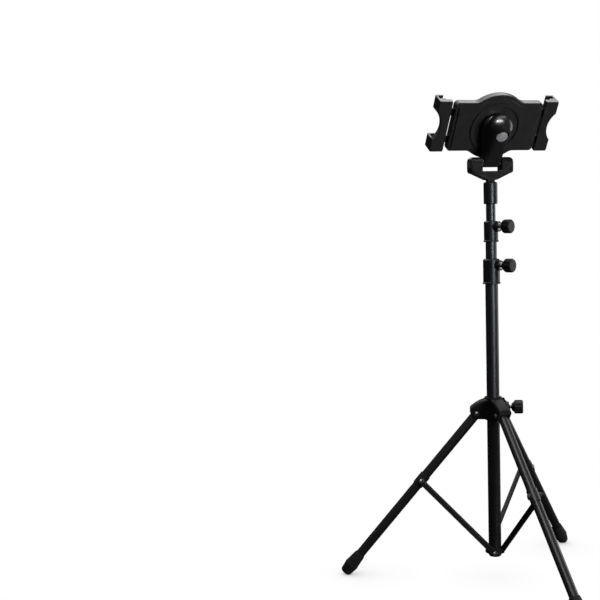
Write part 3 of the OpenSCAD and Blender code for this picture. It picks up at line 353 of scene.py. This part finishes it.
def piece(name, parts, body, slot, stands_for, sharp=35):
    """Joins (vertices, faces) parts into one mesh that rides on a body and stands for a CAD node."""
    verts, faces = [], []
    for more, corners in parts:
        start = len(verts)
        verts += more
        faces += [tuple(start + c for c in face) for face in corners]
    mesh = bpy.data.meshes.new(name)
    mesh.from_pydata([tuple(v) for v in verts], [], faces)
    mesh.validate()
    mesh.polygons.foreach_set("use_smooth", [True] * len(mesh.polygons))
    mesh.set_sharp_from_angle(angle=math.radians(sharp))
    mesh.materials.append(finishes[slot])
    made = bpy.data.objects.new(name, mesh)
    scene.collection.objects.link(made)
    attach(made, body)
    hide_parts(stands_for)


def thread(pitch, root, crest):
    """Radius of a screw thread at a height and an angle. Of the pitch, 30% is crest and 20% is root."""
    def at(z):
        def radius(a):
            phase = (z / pitch - a / (2 * math.pi)) % 1
            return root + (crest - root) * min(1, max(0, 1.6 - 4 * abs(phase - 0.5)))
        return radius
    return at


def hexagon(flats):
    """Radius of a hexagon over its flats, as a function of the angle."""
    sector, nudge = math.pi / 3, 1e-9
    return lambda a: flats / 2 / math.cos((a + nudge) % sector - sector / 2)


def cross_slot(half, arm):
    """Radius of a cross recess, as a function of the angle."""
    def radius(a):
        b = abs((a + math.pi / 4) % (math.pi / 2) - math.pi / 4)
        return arm / math.cos(b) if math.tan(b) <= half / arm else half / math.sin(b)
    return radius


STUD_PITCH, STUD_ROOT, STUD_CREST = 1.0 * MM, 2.5 * MM, 2.98 * MM
STUD_CHAMFER = 0.6 * MM
STUD_RINGS_PER_TURN = 8


def clamp_screw(clamp):
    """A threaded rod with a chamfered tip, in place of a clamp's plain stud."""
    joint, stud = joints[clamp + "_knob_turn"], clamp + "_stud"
    spot, axis = Vector(joint["pos_m"]), Vector(joint["axis"])
    start, end = along(stud, spot, axis)
    cut = thread(STUD_PITCH, STUD_ROOT, STUD_CREST)
    steps = int((end - start) / STUD_PITCH * STUD_RINGS_PER_TURN)
    rings = [(start, STUD_ROOT - STUD_CHAMFER), (start + STUD_CHAMFER, STUD_ROOT)]
    for n in range(1, steps):
        z = start + STUD_CHAMFER + (end - start - STUD_CHAMFER) * n / steps
        rings.append((z, cut(z)))
    rings.append((end, STUD_ROOT))
    rod = turned(rings, facing(spot, axis), segments=36)
    piece(clamp + "_clamp_screw", [rod], clamp + "_clamp", "bright_steel", stud, sharp=60)


for clamp in ("main", "mid", "hub"):
    clamp_screw(clamp)


CLAMP_NUT_FLATS, TILT_NUT_FLATS = 9.9 * MM, 9.5 * MM
NUT_HOLE, NUT_CHAMFER, NUT_CORNER_LEFT = 3.05 * MM, 0.5 * MM, 0.15 * MM


def hex_nut(name, joint, body, nut, flats):
    """A nut with chamfered corners and a countersunk hole, in place of a plain one."""
    spot, axis = Vector(joints[joint]["pos_m"]), Vector(joints[joint]["axis"])
    low, high = along(nut, spot, axis)
    corner = hexagon(flats)

    def chamfered(a):
        return min(corner(a), flats / 2 + NUT_CORNER_LEFT)

    sides = [(low, chamfered), (low + NUT_CHAMFER, corner), (high - NUT_CHAMFER, corner), (high, chamfered)]
    bore = [(high, NUT_HOLE + NUT_CHAMFER), (high - NUT_CHAMFER, NUT_HOLE),
            (low + NUT_CHAMFER, NUT_HOLE), (low, NUT_HOLE + NUT_CHAMFER)]
    shape = turned(sides + bore, facing(spot, axis), segments=72, closed=True)
    piece(name, [shape], body, "bright_steel", nut, sharp=25)


for clamp, body in (("main", "base"), ("mid", "mid_mast"), ("hub", "hub")):
    hex_nut(clamp + "_boss_nut", clamp + "_knob_turn", body, clamp + "_clamp_nut", CLAMP_NUT_FLATS)
hex_nut("tilt_lock_nut", "head_tilt", "yoke", "tilt_nut", TILT_NUT_FLATS)


def tilt_bolt():
    """The bolt through the yoke: a chamfered head with a hexagon socket and a threaded end."""
    spot = Vector(joints["head_tilt"]["pos_m"])
    low, high = along("tilt_bolt", spot, ACROSS)
    tip, shank, head, socket_tip = 2.2 * MM, 3.0 * MM, 5.3 * MM, 0.3 * MM
    tip_len, thread_end, thread_step, thread_rings = 0.5 * MM, 11.2 * MM, 0.125 * MM, 81
    head_t, head_chamfer, socket_wall, socket_depth = 3.6 * MM, 0.6 * MM, 2.4 * MM, 3.0 * MM
    cut = thread(1.0 * MM, 2.6 * MM, 2.98 * MM)
    socket = hexagon(5 * MM)
    rings = [(low, tip)]
    for n in range(thread_rings):
        rings.append((low + tip_len + thread_step * n, cut(low + thread_step * n)))
    rings += [(low + thread_end, shank), (high - head_t, shank), (high - head_t, head),
              (high - head_chamfer, head), (high, head - head_chamfer),
              (high, socket), (high - socket_wall, socket), (high - socket_depth, socket_tip)]
    bolt = turned(rings, facing(spot, ACROSS), segments=72)
    piece("tilt_bolt_socket_head", [bolt], "yoke", "bright_steel", "tilt_bolt")


tilt_bolt()


def cover_screw_heads():
    """Four countersunk screws with cross recesses in the holder's front cover."""
    tip, shank, head, rim = 0.5 * MM, 1.5 * MM, 2.95 * MM, 3.0 * MM
    tip_len, head_t, edge_t, edge_in, recess_depth = 1.2 * MM, 1.5 * MM, 0.12 * MM, 0.1 * MM, 1.1 * MM
    low, high = along("cover_screws", holder_middle, holder_front)
    wide = along("cover_screws", holder_middle, ACROSS)[1] - rim
    tall = along("cover_screws", holder_middle, holder_up)[1] - rim
    face = high - 0.02 * MM
    recess, recess_floor = cross_slot(0.42 * MM, 1.5 * MM), cross_slot(0.2 * MM, 0.55 * MM)
    rings = [(low, tip), (low + tip_len, shank), (high - head_t, shank), (high - edge_t, head),
             (face, head - edge_in), (face, recess), (high - recess_depth, recess_floor)]
    parts = []
    for x in (-wide, wide):
        for y in (-tall, tall):
            # Every screw was driven to a turn of its own
            turn = 0.4 + 9 * x + 5 * y
            place = on_holder @ Matrix.Translation((x, y, 0)) @ Matrix.Rotation(turn, 4, "Z")
            parts.append(turned(rings, place, segments=64))
    piece("cover_screw_heads", parts, "holder", "bright_steel", "cover_screws")


cover_screw_heads()


# Ribbed rubber: each strip's rib width and the gap between its ribs

HOLDER_RIB, HOLDER_RIB_GAP = 1.4 * MM, 1.0 * MM
HOOK_RIB, HOOK_RIB_GAP = 1.2 * MM, 0.9 * MM
RIB_RISE, RIB_SINK, SOFT_EDGE = 0.5 * MM, 0.1 * MM, 0.3 * MM
SMALLEST_CORNER = 0.02 * MM
ROUND_STEPS = 4


def soft_bar(place, size):
    """A bar centred on X and Y that stands on Z = 0, with round corners and a rounded top edge."""
    wide, deep, high = size[0] / 2, size[1] / 2, size[2]
    corner = min(wide, deep) / 2
    levels = [(0, 0)]
    for n in range(ROUND_STEPS + 1):
        a = math.pi / 2 * n / ROUND_STEPS
        levels.append((high - SOFT_EDGE + SOFT_EDGE * math.sin(a), SOFT_EDGE * (1 - math.cos(a))))
    rings = []
    for z, inset in levels:
        ring = []
        for quarter, (sx, sy) in enumerate(((1, 1), (-1, 1), (-1, -1), (1, -1))):
            for n in range(ROUND_STEPS + 1):
                a = math.pi / 2 * (quarter + n / ROUND_STEPS)
                r = max(corner - inset, SMALLEST_CORNER)
                ring.append(place @ Vector((sx * (wide - corner) + r * math.cos(a),
                                            sy * (deep - corner) + r * math.sin(a), z)))
        rings.append(ring)
    count = len(rings[0])
    faces = [tuple(range(count - 1, -1, -1)), tuple(range((len(rings) - 1) * count, len(rings) * count))]
    for n in range(len(rings) - 1):
        for k in range(count):
            m = (k + 1) % count
            faces.append((n * count + k, n * count + m, (n + 1) * count + m, (n + 1) * count + k))
    return [point for ring in rings for point in ring], faces


def ribbed_strip(place, size, rib, gap):
    """A rubber strip whose ribs run along its length. Ribs and strip together are as thick as size says."""
    length, width, thickness = size
    base = thickness - RIB_RISE
    parts = [soft_bar(place, (length, width, base))]
    count = int((width - 2 * gap) / (rib + gap))
    for n in range(count):
        y = (n - (count - 1) / 2) * (rib + gap)
        parts.append(soft_bar(place @ Matrix.Translation((0, y, base - RIB_SINK)),
                              (length - 4 * gap, rib, RIB_RISE + RIB_SINK)))
    return parts


def upper_half(node):
    """Lowest and highest reach, up the holder, of the part of a node above the turning axis."""
    reach = [(vertex.co - holder_middle).dot(holder_up) for vertex in nodes[node].data.vertices]
    return min(r for r in reach if r > 0), max(reach)


def holder_strips():
    """Two ribbed strips across the holder's front."""
    low, high = along("holder_pads", holder_middle, holder_front)
    half = along("holder_pads", holder_middle, ACROSS)[1]
    lower, upper = upper_half("holder_pads")
    size = (2 * half, upper - lower, high - low)
    parts = []
    for y in (-(lower + upper) / 2, (lower + upper) / 2):
        parts += ribbed_strip(on_holder @ Matrix.Translation((0, y, low)), size, HOLDER_RIB, HOLDER_RIB_GAP)
    piece("holder_rubber_strips", parts, "holder", "black_rubber", "holder_pads")


def hook_linings(name, side):
    """Ribbed linings in the two hooks of one arm. Both arms' are alike, so the right ones give the size."""
    back, front = along("arm_pads_right", holder_middle, holder_front)
    lower, upper = upper_half("arm_pads_right")
    outwards = ACROSS * side
    near, far = along("arm_pads_" + name, holder_middle, outwards)
    size = (front - back, upper - lower, far - near)
    parts = []
    for y in (-(lower + upper) / 2, (lower + upper) / 2):
        foot = on_holder @ Vector((side * far, y, (back + front) / 2))
        parts += ribbed_strip(facing(foot, -outwards, holder_front), size, HOOK_RIB, HOOK_RIB_GAP)
    piece("hook_linings_" + name, parts, "arm_" + name, "black_rubber", "arm_pads_" + name)


holder_strips()
hook_linings("right", 1)
hook_linings("left", -1)


# Stage and light

# The floor's half side and drop, and how far its painted contact shadow reaches, in metres
FLOOR_HALF_SIDE, FLOOR_DROP, PAINTED_SHADOW_REACH = 14.0, 0.3 * MM, 0.09
WHITE = (1, 1, 1, 1)


def stage_floor():
    """A wide white floor with painted soft contact shadows. Only the camera sees it bright, so black stays deep.
    """
    mesh = bpy.data.meshes.new("floor")
    corners = [(x * FLOOR_HALF_SIDE, y * FLOOR_HALF_SIDE, -FLOOR_DROP)
               for x, y in ((-1, -1), (1, -1), (1, 1), (-1, 1))]
    mesh.from_pydata(corners, [], [(0, 1, 2, 3)])
    floor = bpy.data.objects.new("floor", mesh)
    material = bpy.data.materials.new("pale_floor")
    material.use_nodes = True
    tree = material.node_tree
    tree.nodes.clear()
    seen = put(tree, "ShaderNodeLightPath").outputs["Is Camera Ray"]
    near = put(tree, "ShaderNodeAmbientOcclusion", {"Distance": PAINTED_SHADOW_REACH}, samples=12)
    # Painted contact shadow: the floor's glow dims where ambient occlusion finds the stand close by
    white = ramp(tree, near.outputs["AO"], 0.25, 0.95, 0.5, 1.0)
    bright = put(tree, "ShaderNodeEmission", {"Color": WHITE, "Strength": white})
    dull = put(tree, "ShaderNodeBsdfDiffuse", {"Color": (0.03, 0.03, 0.031, 1)})
    both = put(tree, "ShaderNodeMixShader", {0: seen, 1: dull.outputs[0], 2: bright.outputs[0]})
    put(tree, "ShaderNodeOutputMaterial", {"Surface": both.outputs[0]})
    mesh.materials.append(material)
    scene.collection.objects.link(floor)


def studio_world():
    """White behind the stand for the camera, and almost dark for the finishes."""
    world = bpy.data.worlds.new("studio")
    world.use_nodes = True
    scene.world = world
    tree = world.node_tree
    tree.nodes.clear()
    seen = put(tree, "ShaderNodeLightPath").outputs["Is Camera Ray"]
    dim = put(tree, "ShaderNodeBackground", {"Color": (0.95, 0.97, 1.0, 1), "Strength": 0.02})
    bright = put(tree, "ShaderNodeBackground", {"Color": WHITE, "Strength": 1.0})
    both = put(tree, "ShaderNodeMixShader", {0: seen, 1: dim.outputs[0], 2: bright.outputs[0]})
    put(tree, "ShaderNodeOutputWorld", {"Surface": both.outputs[0]})


CAMERA_BEARING = 64.2
NEUTRAL, COOL = (1.0, 1.0, 1.0), (0.8, 0.88, 1.0)


def softbox(name, turn, distance, height, size, power, aim=0.45, gives="all", lights=None, tint=NEUTRAL):
    """A soft light, turned so many degrees round the mast from the camera's side and aimed at a height.

    Lengths are in metres and power in watts. It gives gloss, fill or all, to the named nodes or to all.
    """
    data = bpy.data.lights.new(name, "AREA")
    data.shape = "RECTANGLE"
    data.size, data.size_y = size
    data.energy = power
    data.color = tint
    light = bpy.data.objects.new(name, data)
    bearing = math.radians(CAMERA_BEARING + turn)
    spot = mast_foot + Vector((distance * math.cos(bearing), distance * math.sin(bearing), height))
    light.matrix_world = facing(spot, spot - (mast_foot + UP * aim))
    light.visible_camera = False
    light.visible_diffuse = gives != "gloss"
    light.visible_glossy = gives != "fill"
    scene.collection.objects.link(light)
    if lights:
        lit = bpy.data.collections.new(name + "_lit")
        for node in lights:
            lit.objects.link(nodes[node])
        light.light_linking.receiver_collection = lit


stage_floor()
studio_world()

# The strip light reaches tubes, collars and socket, and the near leg has a weaker one of its own
TUBES = tuple(part["node"] for part in subparts if part["material_slot"] == "painted_tube")
NEAR_LEG = tuple(node for node in TUBES if node.endswith("_2"))
STRIPED = tuple(node for node in TUBES if node not in NEAR_LEG) + ("main_collar", "mid_collar", "head_socket")
HOLDER = ("holder_shell", "arm_left", "arm_right")

# Light for the whole stand
softbox("overhead", 180, 0.7, 2.9, (2.4, 2.4), 54, aim=0.0)
softbox("key_window", -20, 1.7, 2.2, (1.1, 1.1), 18, aim=0.7, gives="gloss")
softbox("front_fill", 58, 2.4, 0.3, (0.9, 0.9), 52, aim=0.5, gives="fill")

# Highlights of single pieces
softbox("knuckle_window", -8, 1.75, 2.5, (0.45, 2.4), 140, aim=0.75, gives="gloss", lights=("knuckle",))
for name, power, lit in (("mast_strip", 40, STRIPED), ("near_leg_strip", 18, NEAR_LEG)):
    softbox(name, 34, 2.4, 0.95, (1.15, 0.28), power, gives="gloss", lights=lit, tint=COOL)
softbox("yoke_edge_light", -38, 1.0, 0.4, (1.3, 0.6), 3, aim=0.68, gives="gloss", lights=("yoke",))
softbox("holder_top_light", 163, 1.5, 2.5, (1.4, 0.8), 6, aim=0.75, gives="gloss", lights=HOLDER)

# Light from the sides and from behind
softbox("right_rim", 122, 2.2, 0.8, (2.0, 1.2), 17, aim=0.75, gives="gloss")
softbox("left_fill", -80, 2.4, 1.0, (1.6, 1.0), 1.0)
softbox("far_fill", 195, 2.6, 1.0, (1.6, 1.2), 30, gives="fill")
softbox("far_window", 215, 2.2, 2.2, (1.2, 1.2), 14, aim=0.7, gives="gloss")

scene.view_settings.view_transform = "Standard"
scene.view_settings.look = "None"
